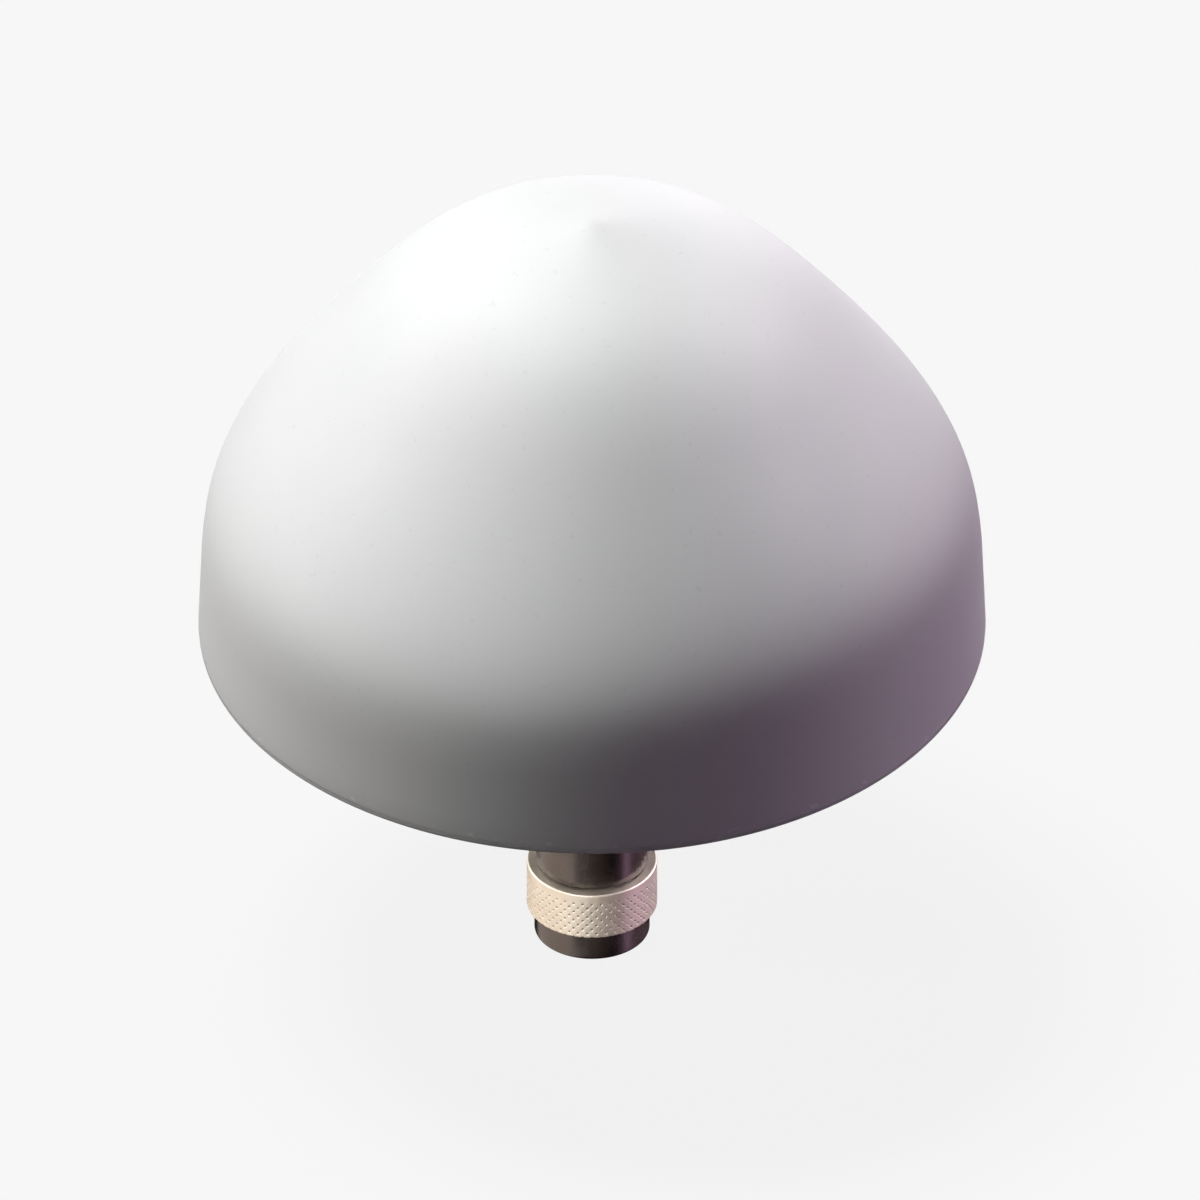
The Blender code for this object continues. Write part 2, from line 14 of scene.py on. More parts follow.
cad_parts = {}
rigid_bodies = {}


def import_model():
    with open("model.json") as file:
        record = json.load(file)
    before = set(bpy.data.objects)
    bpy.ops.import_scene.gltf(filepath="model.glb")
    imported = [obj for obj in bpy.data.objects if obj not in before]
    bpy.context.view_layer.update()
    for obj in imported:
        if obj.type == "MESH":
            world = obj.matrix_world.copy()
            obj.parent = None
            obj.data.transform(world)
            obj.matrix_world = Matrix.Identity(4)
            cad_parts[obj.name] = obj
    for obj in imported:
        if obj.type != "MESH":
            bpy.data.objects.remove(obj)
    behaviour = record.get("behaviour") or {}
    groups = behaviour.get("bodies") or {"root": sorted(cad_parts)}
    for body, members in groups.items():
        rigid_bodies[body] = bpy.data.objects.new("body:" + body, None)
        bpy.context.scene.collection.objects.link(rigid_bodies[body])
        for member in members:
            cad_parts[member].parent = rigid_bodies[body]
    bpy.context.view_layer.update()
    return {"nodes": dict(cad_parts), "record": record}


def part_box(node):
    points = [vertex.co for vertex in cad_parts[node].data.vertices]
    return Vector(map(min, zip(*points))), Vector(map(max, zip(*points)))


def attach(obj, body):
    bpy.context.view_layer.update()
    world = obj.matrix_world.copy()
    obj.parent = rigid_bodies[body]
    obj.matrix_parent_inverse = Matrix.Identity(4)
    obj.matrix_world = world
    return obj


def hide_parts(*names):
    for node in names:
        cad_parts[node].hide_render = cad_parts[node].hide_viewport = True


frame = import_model()

MM = 0.001
GAP = 0.3  # between pieces that rest on each other

# Sizes the CAD was made to
DOME_RADIUS = 80.0
DOME_RISE = 101.2  # base plate's underside to the tip
SKIRT_DRAFT = 0.0388  # inward lean for each mm of height
WALL = 2.6
RIM_BAND = 1.7  # visible edge of the base plate
SPIGOT_RADIUS, SPIGOT_WALL = 77.1, 3.5
FLANGE_RADIUS = 25.0
NECK_RADIUS = 11.4
JOURNAL_RADIUS = 9.6  # the neck's reduced end, inside the nut's lip
SOCKET_RADIUS = 8.1
STUD_ROOM = 26.0  # how far up the neck is hollow
STUD_PITCH = 2.309  # 11 threads to the inch
THREAD_RADIUS, THREAD_PITCH = 11.0, 1.5
TONGUE_HEIGHT, TONGUE_WIDTH = 1.5, 3.0  # they keep the head from turning on the adapter
CONNECTOR_Y = 50.0


def top_of(node):
    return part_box(node)[1].z / MM


def bottom_of(node):
    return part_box(node)[0].z / MM


def centre_of(node):
    low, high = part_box(node)
    return ((low.x + high.x) / 2 / MM, (low.y + high.y) / 2 / MM)


BASE_Z = bottom_of("base_plate")
NUT_LOW, NUT_HIGH = bottom_of("union_nut"), top_of("union_nut")
NUT_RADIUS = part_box("union_nut")[1].x / MM
KNURL_TOP = NUT_HIGH - 1.5
COLLAR_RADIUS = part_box("pole_adapter")[1].x / MM
RETAINER_TOP = top_of("retaining_ring")
NECK_END = bottom_of("retaining_ring")
BARREL_TOP = NECK_END - GAP


# ---------------------------------------------------------------- turned meshes


def rounded(corners, closed=False, steps=5):
    """The outline with each corner's rounding, its third number, turned into a curve."""
    count = len(corners)
    points = []
    for i, (r, z, *rounding) in enumerate(corners):
        corner = Vector((r, z))
        at_end = not closed and i in (0, count - 1)
        if at_end or not rounding:
            points.append(corner)
            continue
        before = Vector(corners[i - 1][:2]) - corner
        after = Vector(corners[(i + 1) % count][:2]) - corner
        pull = min(rounding[0], before.length * 0.49, after.length * 0.49)
        start = corner + before.normalized() * pull
        end = corner + after.normalized() * pull
        for k in range(steps + 1):
            t = k / steps
            points.append(start * (1 - t) ** 2 + corner * 2 * t * (1 - t) + end * t**2)
    return points


def subdivided(points, spacing, closed=False):
    """The same outline with extra points, so that no step is longer than the spacing."""
    ring = [*points, points[0]] if closed else points
    made = []
    for a, b in zip(ring, ring[1:]):
        count = max(1, math.ceil((b - a).length / spacing))
        made += [a.lerp(b, k / count) for k in range(count)]
    return made if closed else [*made, points[-1]]


def smoothed(mesh):
    """The mesh, shaded smooth except across its real edges."""
    mesh.shade_smooth()
    mesh.set_sharp_from_angle(angle=math.radians(40))
    return mesh


def lathe(name, points, sides, closed=False, at=(0.0, 0.0), relief=None):
    """A turned mesh. The relief gives the inward depth at an angle and an outline point."""
    verts, faces, rings = [], [], []
    for point in points:
        if point.x < 1e-6:
            rings.append([len(verts)])
            verts.append((at[0] * MM, at[1] * MM, point.y * MM))
            continue
        ring = []
        for i in range(sides):
            angle = math.tau * i / sides
            radius = point.x - (relief(angle, point) if relief else 0.0)
            ring.append(len(verts))
            x = at[0] + radius * math.cos(angle)
            y = at[1] + radius * math.sin(angle)
            verts.append((x * MM, y * MM, point.y * MM))
        rings.append(ring)
    pairs = list(zip(rings, rings[1:]))
    if closed:
        pairs.append((rings[-1], rings[0]))
    for upper, lower in pairs:
        for i in range(sides):
            j = (i + 1) % sides
            face = [upper[i % len(upper)], lower[i % len(lower)]]
            face += [lower[j % len(lower)], upper[j % len(upper)]]
            faces.append(list(dict.fromkeys(face)))
    mesh = bpy.data.meshes.new(name)
    mesh.from_pydata(verts, [], [f for f in faces if len(f) > 2])
    return smoothed(mesh)


def facing_blocks(name, inner, outer, low, high, width):
    """Two blocks that face each other across the axis, to join or to cut with."""
    shape = bmesh.new()
    size = Matrix.Diagonal(((outer - inner) * MM, width * MM, (high - low) * MM, 1.0))
    for side in (-1, 1):
        middle = Vector((side * (inner + outer) / 2, 0.0, (low + high) / 2))
        bmesh.ops.create_cube(shape, size=1.0, matrix=Matrix.Translation(middle * MM) @ size)
    mesh = bpy.data.meshes.new(name)
    shape.to_mesh(mesh)
    shape.free()
    return mesh


def combined(mesh, tool, operation):
    """The mesh joined with the tool's mesh, or cut by it."""
    parts = [bpy.data.objects.new(part.name, part) for part in (mesh, tool)]
    for part in parts:
        bpy.context.scene.collection.objects.link(part)
    change = parts[0].modifiers.new(operation, "BOOLEAN")
    change.operation = operation
    change.object = parts[1]
    evaluated = parts[0].evaluated_get(bpy.context.evaluated_depsgraph_get())
    result = bpy.data.meshes.new_from_object(evaluated)
    for part in parts:
        bpy.data.objects.remove(part)
    return smoothed(result)


def piece(name, mesh, body, stands_for, slot):
    obj = bpy.data.objects.new(name, mesh)
    bpy.context.scene.collection.objects.link(obj)
    obj.data.materials.append(MATERIALS[slot])
    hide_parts(stands_for)
    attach(obj, body)
    return obj


# ---------------------------------------------------------------- materials


class Recipe:
    """A Principled material being wired, with textures in the frame's own metres."""

    def __init__(self, name, **sockets):
        self.material = bpy.data.materials.new(name)
        self.material.use_nodes = True
        self.nodes = self.material.node_tree.nodes
        self.links = self.material.node_tree.links
        self.shader = self.nodes["Principled BSDF"]
        for label, value in sockets.items():
            self.shader.inputs[label.replace("_", " ")].default_value = value
        self.place = self.nodes.new("ShaderNodeTexCoord").outputs["Object"]
        self.normal = None

    def noise(self, scale, detail=2.0, stretch=(1.0, 1.0, 1.0), shift=0.0):
        mapping = self.nodes.new("ShaderNodeMapping")
        mapping.inputs["Scale"].default_value = stretch
        mapping.inputs["Location"].default_value = (shift, shift, shift)
        self.links.new(self.place, mapping.inputs["Vector"])
        texture = self.nodes.new("ShaderNodeTexNoise")
        texture.inputs["Scale"].default_value = scale
        texture.inputs["Detail"].default_value = detail
        self.links.new(mapping.outputs["Vector"], texture.inputs["Vector"])
        return texture.outputs["Fac"]

    def cells(self, scale, feature="F1"):
        texture = self.nodes.new("ShaderNodeTexVoronoi")
        texture.feature = feature
        texture.inputs["Scale"].default_value = scale
        self.links.new(self.place, texture.inputs["Vector"])
        return texture.outputs["Distance"]

    def height(self):
        split = self.nodes.new("ShaderNodeSeparateXYZ")
        self.links.new(self.place, split.inputs["Vector"])
        return split.outputs["Z"]

    def radius(self):
        """The distance from the turning axis."""
        flat = self.nodes.new("ShaderNodeVectorMath")
        flat.operation = "MULTIPLY"
        flat.inputs[1].default_value = (1.0, 1.0, 0.0)
        self.links.new(self.place, flat.inputs[0])
        length = self.nodes.new("ShaderNodeVectorMath")
        length.operation = "LENGTH"
        self.links.new(flat.outputs["Vector"], length.inputs[0])
        return length.outputs["Value"]

    def edges(self):
        return self.nodes.new("ShaderNodeNewGeometry").outputs["Pointiness"]

    def band(self, value, low, high, to_low=0.0, to_high=1.0):
        """The value's run from low to high, remapped and clamped."""
        node = self.nodes.new("ShaderNodeMapRange")
        limits = {"From Min": low, "From Max": high, "To Min": to_low, "To Max": to_high}
        for label, number in limits.items():
            node.inputs[label].default_value = number
        self.links.new(value, node.inputs["Value"])
        return node.outputs["Result"]

    def math(self, operation, a, b):
        node = self.nodes.new("ShaderNodeMath")
        node.operation = operation
        for socket, value in zip(node.inputs, (a, b)):
            if isinstance(value, (int, float)):
                socket.default_value = value
            else:
                self.links.new(value, socket)
        return node.outputs["Value"]

    def mix(self, share, a, b):
        """A blend of two colours, each a tuple or another blend."""
        node = self.nodes.new("ShaderNodeMix")
        node.data_type = "RGBA"
        self.links.new(share, node.inputs["Factor"])
        ends = [socket for socket in node.inputs if socket.type == "RGBA"]
        for socket, colour in zip(ends, (a, b)):
            if isinstance(colour, tuple):
                socket.default_value = (*colour, 1.0)
            else:
                self.links.new(colour, socket)
        return next(socket for socket in node.outputs if socket.type == "RGBA")

    def bump(self, height, depth_mm, strength=1.0):
        node = self.nodes.new("ShaderNodeBump")
        node.inputs["Strength"].default_value = strength
        node.inputs["Distance"].default_value = depth_mm * MM
        self.links.new(height, node.inputs["Height"])
        if self.normal:
            self.links.new(self.normal, node.inputs["Normal"])
        self.normal = node.outputs["Normal"]

    def done(self, colour=None, roughness=None, metallic=None):
        wired = {"Base Color": colour, "Roughness": roughness}
        wired |= {"Metallic": metallic, "Normal": self.normal}
        for label, output in wired.items():
            if output:
                self.links.new(output, self.shader.inputs[label])
        return self.material


def white_plastic():
    """Satin moulded radome: fine spark texture, faint flow, and polished nicks along its foot,
    coloured pure white as painted glints.
    """
    made = Recipe("white_plastic", IOR=1.46)
    flow = made.noise(26.0, 3.0, (1.0, 1.0, 0.5))
    grain = made.noise(1500.0, 2.0)
    colour = made.mix(made.band(flow, 0.3, 0.7), (0.795, 0.797, 0.800), (0.825, 0.823, 0.820))
    specks = made.band(made.noise(620.0, 1.0, shift=3.0), 0.71, 0.76, 0.0, 0.35)
    colour = made.mix(specks, colour, (0.70, 0.69, 0.67))
    foot = BASE_Z + RIM_BAND
    above = made.band(made.height(), (foot + 0.4) * MM, (foot + 0.6) * MM)
    below = made.band(made.height(), (foot + 1.2) * MM, (foot + 1.5) * MM, 1.0, 0.0)
    # Painted glints: sparse specks just above the foot are coloured pure white to stand in for
    # highlights; their lower roughness is real polish.
    nicks_painted_glint = made.band(made.noise(300.0, 1.0), 0.64, 0.67)
    nicks_painted_glint = made.math("MULTIPLY", nicks_painted_glint, made.math("MULTIPLY", above, below))
    colour = made.mix(nicks_painted_glint, colour, (1.0, 1.0, 1.0))
    roughness = made.band(made.noise(48.0, 4.0, shift=1.0), 0.3, 0.7, 0.52, 0.62)
    roughness = made.math("SUBTRACT", roughness, made.math("MULTIPLY", nicks_painted_glint, 0.3))
    made.bump(made.noise(9.0, 1.0), 0.25, 0.35)
    made.bump(grain, 0.02, 0.5)
    return made.done(colour, roughness)


def grey_plastic():
    """Pale moulded base, a shade under the radome, coarser texture, dulled along its edges."""
    made = Recipe("grey_plastic", IOR=1.48)
    cloud = made.band(made.noise(70.0, 4.0), 0.35, 0.65)
    colour = made.mix(cloud, (0.575, 0.575, 0.580), (0.625, 0.625, 0.625))
    worn = made.math(
        "MULTIPLY",
        made.band(made.edges(), 0.53, 0.60),
        made.band(made.noise(420.0, 2.0), 0.48, 0.60),
    )
    colour = made.mix(worn, colour, (0.40, 0.39, 0.38))
    roughness = made.band(cloud, 0.0, 1.0, 0.48, 0.60)
    made.bump(made.noise(1800.0, 2.0), 0.04, 0.6)
    return made.done(colour, roughness)


def black_anodised():
    """Turned and anodised: a dark brownish gloss with fine tool rings and worn edges."""
    made = Recipe("black_anodised", Metallic=0.85)
    rings = made.noise(5200.0, 1.0, (0.0, 0.0, 1.0))
    bloom = made.band(made.noise(110.0, 3.0), 0.35, 0.65)
    colour = made.mix(bloom, (0.118, 0.104, 0.100), (0.142, 0.124, 0.118))
    scuffed = made.math(
        "MULTIPLY",
        made.band(made.edges(), 0.54, 0.62),
        made.band(made.noise(900.0, 2.0), 0.50, 0.62),
    )
    colour = made.mix(scuffed, colour, (0.42, 0.40, 0.38))
    smudge = made.band(made.noise(160.0, 4.0, shift=5.0), 0.35, 0.7, 0.20, 0.32)
    made.bump(rings, 0.006, 0.5)
    made.bump(made.noise(2600.0, 1.0), 0.004, 0.4)
    return made.done(colour, smudge)


def satin_brass():
    """Pale champagne metal, with painted shade darkening the pits where the knurl's grooves cross,
    and those pits duller.
    """
    made = Recipe("satin_brass", Metallic=0.85)
    tone = made.band(made.noise(240.0, 3.0), 0.35, 0.65)
    colour = made.mix(tone, (0.695, 0.615, 0.520), (0.76, 0.685, 0.595))
    # Painted shade: the knurl's pits, just inside the nut's outer radius, are coloured near black
    # as if in shadow, and made rougher.
    pits_painted_shade = made.band(made.radius(), (NUT_RADIUS - 0.15) * MM, (NUT_RADIUS - 0.04) * MM, 1.0, 0.0)
    knurled = made.band(made.height(), (KNURL_TOP - 0.2) * MM, KNURL_TOP * MM, 1.0, 0.0)
    pits_painted_shade = made.math("MULTIPLY", pits_painted_shade, knurled)
    colour = made.mix(pits_painted_shade, colour, (0.09, 0.06, 0.045))
    roughness = made.band(made.noise(800.0, 2.0), 0.3, 0.7, 0.46, 0.58)
    roughness = made.math("ADD", roughness, made.math("MULTIPLY", pits_painted_shade, 0.3))
    made.bump(made.noise(4200.0, 1.0, (0.05, 0.05, 1.0)), 0.006, 0.6)
    return made.done(colour, roughness)


def plain_metal(name, dark, light, low, high, lines=(1.0, 1.0, 0.06)):
    """Bare metal with drawn or turned lines and uneven polish."""
    made = Recipe(name, Metallic=1.0)
    streak = made.noise(3000.0, 2.0, lines)
    colour = made.mix(made.band(made.noise(300.0, 3.0), 0.35, 0.65), dark, light)
    roughness = made.band(streak, 0.3, 0.7, low, high)
    made.bump(streak, 0.005, 0.5)
    return made.done(colour, roughness)


def moulded(name, dark, light, low, high, grain_mm=0.03):
    """Moulded plastic or rubber with a fine skin."""
    made = Recipe(name)
    cloud = made.band(made.noise(260.0, 4.0), 0.35, 0.65)
    colour = made.mix(cloud, dark, light)
    roughness = made.band(cloud, 0.0, 1.0, low, high)
    made.bump(made.noise(2200.0, 2.0), grain_mm, 0.6)
    return made.done(colour, roughness)


def green_board():
    """Solder mask over copper pours, with pads showing as small pale islands."""
    made = Recipe("green_board")
    pours = made.band(made.cells(220.0, "DISTANCE_TO_EDGE"), 0.02, 0.06)
    colour = made.mix(pours, (0.010, 0.085, 0.040), (0.016, 0.150, 0.072))
    pads = made.band(made.cells(900.0), 0.12, 0.16, 1.0, 0.0)
    colour = made.mix(pads, colour, (0.62, 0.60, 0.52))
    made.bump(pours, 0.03, 0.5)
    return made.done(colour, made.band(made.noise(400.0), 0.3, 0.7, 0.30, 0.42))


MATERIALS = {
    "white_plastic": white_plastic(),
    "grey_plastic": grey_plastic(),
    "black_anodised": black_anodised(),
    "satin_brass": satin_brass(),
    "green_board": green_board(),
    "steel": plain_metal("steel", (0.50, 0.50, 0.51), (0.64, 0.64, 0.64), 0.22, 0.36),
    "gold": plain_metal("gold", (0.74, 0.52, 0.22), (0.86, 0.66, 0.34), 0.18, 0.30),
    "aluminium": plain_metal("aluminium", (0.62, 0.63, 0.64), (0.76, 0.76, 0.77), 0.34, 0.48),
    "black_plastic": moulded("black_plastic", (0.014, 0.014, 0.015), (0.03, 0.03, 0.03), 0.4, 0.55),
    "rubber": moulded("rubber", (0.016, 0.016, 0.016), (0.035, 0.034, 0.033), 0.7, 0.85),
    "ceramic": moulded("ceramic", (0.70, 0.66, 0.58), (0.80, 0.77, 0.70), 0.4, 0.6, 0.02),
    "cable_jacket": moulded("cable_jacket", (0.22, 0.12, 0.06), (0.32, 0.19, 0.10), 0.4, 0.5, 0.01),
}


def dress_frame():
    """Every CAD node takes its slot's material, those that other pieces stand for too."""
    slots = {s["node"]: s["material_slot"] for s in frame["record"]["subparts"]}
    for node, obj in frame["nodes"].items():
        obj.data.materials.clear()
        obj.data.materials.append(MATERIALS[slots[node]])


# ---------------------------------------------------------------- the head


def bezier(start, start_slope, start_pull, end, end_slope, end_pull, count):
    """Points up a cubic curve that leaves and arrives at slopes in degrees from level."""

    def ahead(point, slope, pull):
        angle = math.radians(slope)
        return Vector((point[0] - pull * math.cos(angle), point[1] + pull * math.sin(angle)))

    a, d = Vector(start), Vector(end)
    b, c = ahead(start, start_slope, start_pull), ahead(end, end_slope, -end_pull)
    points = []
    for i in range(count + 1):
        t = i / count
        u = 1 - t
        points.append(a * u**3 + b * 3 * u * u * t + c * 3 * u * t * t + d * t**3)
    return points


def dome_line():
    """The radome's outer line, tip to skirt foot: a low cone into a round shoulder."""
    skirt_top = (DOME_RADIUS * 0.99, DOME_RADIUS * 0.255)
    waist = (DOME_RADIUS * 0.636, DOME_RADIUS * 0.912)
    foot = RIM_BAND + 0.08  # the seam is a hairline
    skirt = [Vector((DOME_RADIUS - SKIRT_DRAFT * foot, foot))]
    shoulder = bezier(skirt_top, 85.5, 12.7, waist, 50.3, 40.6, 48)
    crown = bezier(waist, 50.3, 24.4, (0.0, DOME_RISE), 14.0, 26.4, 40)
    up = skirt + shoulder + crown[1:]
    return [Vector((max(p.x, 0.0), BASE_Z + p.y)) for p in reversed(up)]


def make_radome():
    """The white shell, with a small rounded lip round its open foot."""
    outer = dome_line()
    foot = outer.pop()
    skirt_top = outer[-1]
    corners = [
        tuple(skirt_top),
        (foot.x, foot.y, 0.2),
        (foot.x - WALL, foot.y, 0.3),
        (skirt_top.x - WALL, skirt_top.y),
    ]
    lip = rounded(corners)
    inner = [Vector((p.x - WALL * 0.9, p.y - WALL * 0.75)) for p in reversed(outer[:-1])]
    inner = [p for p in inner if p.x > 1.0]
    inner.append(Vector((0.0, inner[-1].y)))
    points = subdivided([*outer, *lip[1:], *inner], 4.0)
    mesh = lathe("radome_shell", points, 192)
    piece("radome_shell", mesh, "head", "radome", "white_plastic")


def make_base():
    """The base plate: a floor, a spigot that centres the radome, and a boss over the neck."""
    edge, spigot_bore = DOME_RADIUS - 0.15, SPIGOT_RADIUS - SPIGOT_WALL
    rim_top, floor_top = BASE_Z + RIM_BAND, BASE_Z + 3.0
    spigot_top, boss_top = BASE_Z + 8.0, BASE_Z + 12.0
    corners = [
        (0, boss_top),
        (FLANGE_RADIUS, boss_top, 1.0),
        (FLANGE_RADIUS, floor_top, 1.0),
        (spigot_bore, floor_top, 1.0),
        (spigot_bore, spigot_top, 0.4),
        (SPIGOT_RADIUS, spigot_top, 0.4),
        (SPIGOT_RADIUS, rim_top, 0.1),
        (edge, rim_top, 0.12),
        (edge, BASE_Z + 0.8, 0.3),
        (edge - 0.8, BASE_Z, 0.3),
        (0, BASE_Z),
    ]
    mesh = lathe("base_pan", subdivided(rounded(corners), 3.0), 192)
    piece("base_pan", mesh, "head", "base_plate", "grey_plastic")


def make_neck():
    """The stem: a flange flaring into it, and a reduced end with slots for the tongues."""
    top = BASE_Z - GAP
    flange_low, flare_low = top - 5.0, top - 16.0
    shoulder, ring_seat = NUT_HIGH + GAP, RETAINER_TOP + GAP
    end_radius = JOURNAL_RADIUS - 0.3
    corners = [
        (0, top),
        (FLANGE_RADIUS, top, 0.5),
        (FLANGE_RADIUS, flange_low, 0.5),
        (15.5, flange_low, 2.0),
        (NECK_RADIUS, flare_low, 5.0),
        (NECK_RADIUS, shoulder, 0.25),
        (JOURNAL_RADIUS, shoulder, 0.1),
        (JOURNAL_RADIUS, ring_seat),
        (end_radius, ring_seat),
        (end_radius, NECK_END, 0.2),
        (SOCKET_RADIUS, NECK_END, 0.2),
        (SOCKET_RADIUS, STUD_ROOM, 0.2),
        (0, STUD_ROOM + 3.0),
    ]
    mesh = lathe("neck_tube", subdivided(rounded(corners), 1.5), 128)
    slots = facing_blocks(
        "neck_slots",
        SOCKET_RADIUS - 1.0,
        JOURNAL_RADIUS + 0.5,
        NECK_END - 1.0,
        NECK_END + TONGUE_HEIGHT + GAP,
        TONGUE_WIDTH + 2 * GAP,
    )
    mesh = combined(mesh, slots, "DIFFERENCE")
    piece("neck_tube", mesh, "head", "neck", "black_anodised")


def make_neck_screw(number):
    """A socket screw with a straight-knurled head, under the flange."""
    node = f"neck_screw_{number}"
    low, high = bottom_of(node), top_of(node)
    shank_radius, head_radius, head_top = 1.9, 3.5, low + 4.0
    around = 24

    def flutes(angle, point):
        on_head = low + 0.5 < point.y < head_top - 0.4 and point.x > head_radius - 0.1
        return 0.12 * (0.5 + 0.5 * math.cos(around * angle)) if on_head else 0.0

    corners = [
        (0, high),
        (shank_radius, high, 0.3),
        (shank_radius, head_top, 0.1),
        (head_radius, head_top, 0.15),
        (head_radius, low, 0.35),
        (2.1, low, 0.15),
        (1.5, low + 2.0),
        (0, low + 2.2),
    ]
    points = subdivided(rounded(corners), 0.5)
    name = f"flange_screw_{number}"
    mesh = lathe(name, points, around * 6, at=centre_of(node), relief=flutes)
    piece(name, mesh, "head", node, "steel")


# ---------------------------------------------------------------- the coupling


def groove(turns, half_width):
    """1 on the middle line of a groove, falling to 0 at its edges."""
    return max(0.0, 1.0 - abs(turns - round(turns)) / half_width)


def make_nut():
    """The union nut: crossed helical grooves cut a diamond knurl that runs off its foot."""
    around, diamond_height, half_width = 44, 2.05, 0.17
    depth, pit = 0.02, 0.24
    fade_height = 0.35

    def knurl(angle, point):
        if point.x < NUT_RADIUS - 0.6 or point.y > KNURL_TOP:
            return 0.0
        along, up = around * angle / math.tau, (point.y - NUT_LOW) / diamond_height
        fade = min(1.0, (KNURL_TOP - point.y) / fade_height)
        one, other = groove(along + up, half_width), groove(along - up, half_width)
        return fade * (depth * (one + other) + pit * one * other)

    lip_low = RETAINER_TOP + GAP
    corners = [
        (NUT_RADIUS, NUT_HIGH, 0.45),
        (NUT_RADIUS, NUT_LOW, 0.25),
        (THREAD_RADIUS + GAP, NUT_LOW, 0.3),
        (THREAD_RADIUS + GAP, lip_low, 0.2),
        (JOURNAL_RADIUS + GAP, lip_low, 0.1),
        (JOURNAL_RADIUS + GAP, NUT_HIGH, 0.3),
    ]
    points = subdivided(rounded(corners, closed=True, steps=6), 0.13, closed=True)
    mesh = lathe("knurled_nut", points, around * 14, closed=True, relief=knurl)
    piece("knurled_nut", mesh, "union_nut", "union_nut", "satin_brass")


def make_adapter():
    """The pole adapter: right-hand threads on its barrel and in its socket, tongues on top."""
    shoulder, thread_depth = NUT_LOW - GAP, 0.5

    def threads(angle, point):
        turn = angle / math.tau
        if abs(point.x - THREAD_RADIUS) < 0.3 and shoulder + 0.4 < point.y < BARREL_TOP - 0.3:
            return thread_depth * groove(point.y / THREAD_PITCH - turn, 0.45)
        if point.x < SOCKET_RADIUS + 0.1 and 1.2 < point.y < BARREL_TOP - 0.5:
            return -thread_depth * groove(point.y / STUD_PITCH - turn, 0.4)
        return 0.0

    corners = [
        (THREAD_RADIUS, BARREL_TOP, 0.3),
        (THREAD_RADIUS, shoulder, 0.1),
        (COLLAR_RADIUS, shoulder, 0.3),
        (COLLAR_RADIUS, 0, 0.6),
        (SOCKET_RADIUS + 1.0, 0, 0.2),
        (SOCKET_RADIUS, 1.0, 0.2),
        (SOCKET_RADIUS, BARREL_TOP, 0.3),
    ]
    points = subdivided(rounded(corners, closed=True), 0.12, closed=True)
    mesh = lathe("adapter_end", points, 144, closed=True, relief=threads)
    tongues = facing_blocks(
        "adapter_tongues",
        SOCKET_RADIUS + 0.2,
        JOURNAL_RADIUS - 0.5,
        BARREL_TOP - 0.5,
        NECK_END + TONGUE_HEIGHT,
        TONGUE_WIDTH,
    )
    mesh = combined(mesh, tongues, "UNION")
    piece("adapter_end", mesh, "pole_adapter", "pole_adapter", "black_anodised")


# ---------------------------------------------------------------- under the base


def make_port():
    """The data port's shell, with the plug's coupling thread outside."""
    low, high = bottom_of("connector_shell"), top_of("connector_shell")
    flange_low, flange_top = BASE_Z - 2.8, BASE_Z - GAP
    bore, barrel, flange = 4.9, 6.0, 10.0
    pitch = 1.0

    def coupling(angle, point):
        if abs(point.x - barrel) < 0.2 and low + 1.0 < point.y < flange_low - 0.8:
            return 0.3 * groove(point.y / pitch - angle / math.tau, 0.45)
        return 0.0

    corners = [
        (barrel, high, 0.3),
        (barrel, flange_top),
        (flange, flange_top, 0.2),
        (flange, flange_low, 0.5),
        (barrel, flange_low, 0.2),
        (barrel, low, 0.4),
        (bore, low, 0.2),
        (bore, high, 0.2),
    ]
    points = subdivided(rounded(corners, closed=True), 0.16, closed=True)
    at = (0.0, CONNECTOR_Y)
    mesh = lathe("port_shell", points, 96, closed=True, at=at, relief=coupling)
    piece("port_shell", mesh, "head", "connector_shell", "steel")


def make_vent():
    """The pressure vent: a stem in the base and a cap with finger grips and a centre hole."""
    low, high = bottom_of("vent_plug"), top_of("vent_plug")
    stem, cap, cap_top = 3.0, 6.0, low + 1.8
    around = 12

    def grips(angle, point):
        return 0.25 * groove(angle * around / math.tau, 0.2) if point.x > cap - 1.0 else 0.0

    corners = [
        (0, high),
        (stem, high, 0.3),
        (stem, cap_top, 0.1),
        (cap, cap_top, 0.2),
        (cap, low, 0.7),
        (1.2, low, 0.2),
        (1.0, low + 0.5),
        (0, low + 0.5),
    ]
    points = subdivided(rounded(corners), 0.4)
    mesh = lathe("vent_cap", points, 120, at=centre_of("vent_plug"), relief=grips)
    piece("vent_cap", mesh, "head", "vent_plug", "black_plastic")


# ---------------------------------------------------------------- studio


WHITE = (1.0, 1.0, 1.0, 1.0)
RADOME_ALBEDO = 0.81


def direction(azimuth, elevation):
    """A unit vector towards a place in the studio: azimuth 0 is the camera's side, 90 its right."""
    a, e = math.radians(azimuth), math.radians(elevation)
    return Vector((math.sin(a) * math.cos(e), -math.cos(a) * math.cos(e), math.sin(e)))


def sun(name, azimuth, elevation, colour, spread=22):
    """A far soft light. The colour is what the radome, facing it, would give back."""
    data = bpy.data.lights.new(name, "SUN")
    strength = max(colour)
    data.color = [c / strength for c in colour]
    data.energy = strength * math.pi / RADOME_ALBEDO
    data.angle = math.radians(spread)
    obj = bpy.data.objects.new(name, data)
    obj.rotation_euler = direction(azimuth, elevation).to_track_quat("Z", "Y").to_euler()
    bpy.context.scene.collection.objects.link(obj)


def make_lights():
    sun("top_left", -120, 70, (0.64, 0.65, 0.65))
    sun("top_back", -165, 70, (0.18, 0.18, 0.18))
    sun("back_low", 165, 0, (0.155, 0.15, 0.155))
    sun("left_low", -90, 10, (0.24, 0.24, 0.24))
    sun("right_back", 120, 0, (0.115, 0.09, 0.115))
    sun("right_front", 75, -20, (0.075, 0.048, 0.078), 30)


